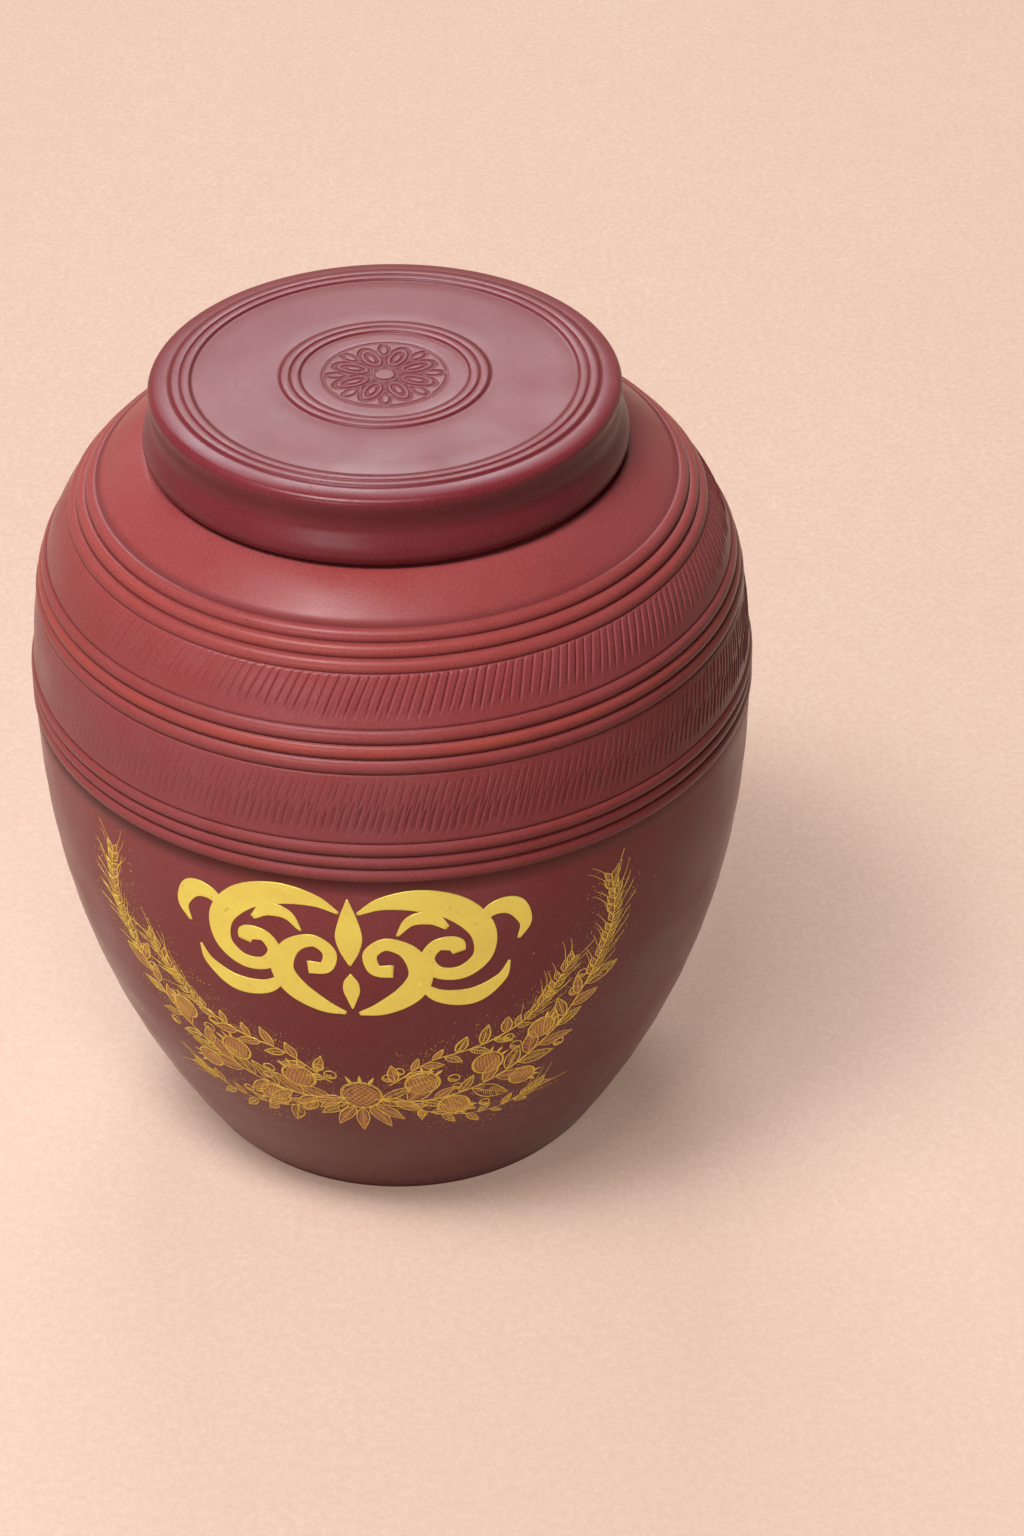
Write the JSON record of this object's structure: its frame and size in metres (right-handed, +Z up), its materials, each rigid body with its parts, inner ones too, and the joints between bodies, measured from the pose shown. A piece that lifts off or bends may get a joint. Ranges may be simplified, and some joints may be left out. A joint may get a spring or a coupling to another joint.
{
  "type": "stoneware wine jar",
  "caption": "Wide-shouldered stoneware jar for storing wine, with an inner stopper lid on a seal under a flat outer cap lid.",
  "frame": {"origin": "middle of the foot, on the surface that the jar stands on", "axes": "+Z up along the jar's turning axis, -Y towards the decorated front"},
  "size_m": [0.3322, 0.3322, 0.3909],
  "materials": {
    "jar_clay": "satin unglazed red-brown stoneware",
    "cap_clay": "satin unglazed mauve-brown stoneware",
    "stopper_clay": "matte unglazed stoneware",
    "seal_silicone": "matte translucent silicone"
  },
  "bodies": {
    "jar": {"jar_body": "jar_clay"},
    "stopper": {"inner_lid": "stopper_clay", "inner_lid_seal": "seal_silicone"},
    "cap": {"outer_lid": "cap_clay"}
  },
  "joints": [
    {"name": "stopper_lift", "type": "slide", "parent": "jar", "child": "stopper", "axis": [0, 0, 1], "range_m": [0, 0.12]},
    {"name": "cap_lift", "type": "slide", "parent": "stopper", "child": "cap", "axis": [0, 0, 1], "range_m": [0, 0.12]}
  ]
}
